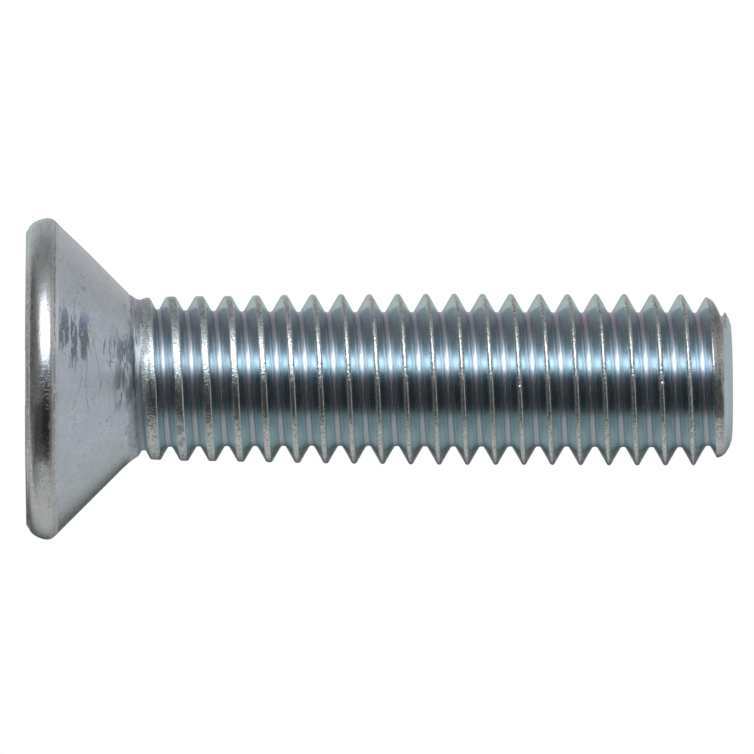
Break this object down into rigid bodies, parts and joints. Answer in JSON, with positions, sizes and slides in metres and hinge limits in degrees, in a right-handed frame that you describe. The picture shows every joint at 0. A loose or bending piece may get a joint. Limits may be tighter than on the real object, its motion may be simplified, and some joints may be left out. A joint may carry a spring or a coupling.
{
  "type": "countersunk machine screw",
  "caption": "Flat-head countersunk machine screw, fully threaded shank, cross recess in the head, standing on its head.",
  "frame": {"origin": "centre of the head's flat face, which is the face the screw stands on", "axes": "+Z along the screw's own axis, from the head's flat face to the point; X and Y lie along the two arms of the cross recess"},
  "size_m": [0.0092, 0.0092, 0.02],
  "materials": {
    "zinc_steel": "blue-passivated zinc plating on cold-formed steel, smooth and reflective, with faint rolling marks"
  },
  "bodies": {
    "root": {"screw": "zinc_steel"}
  },
  "joints": []
}
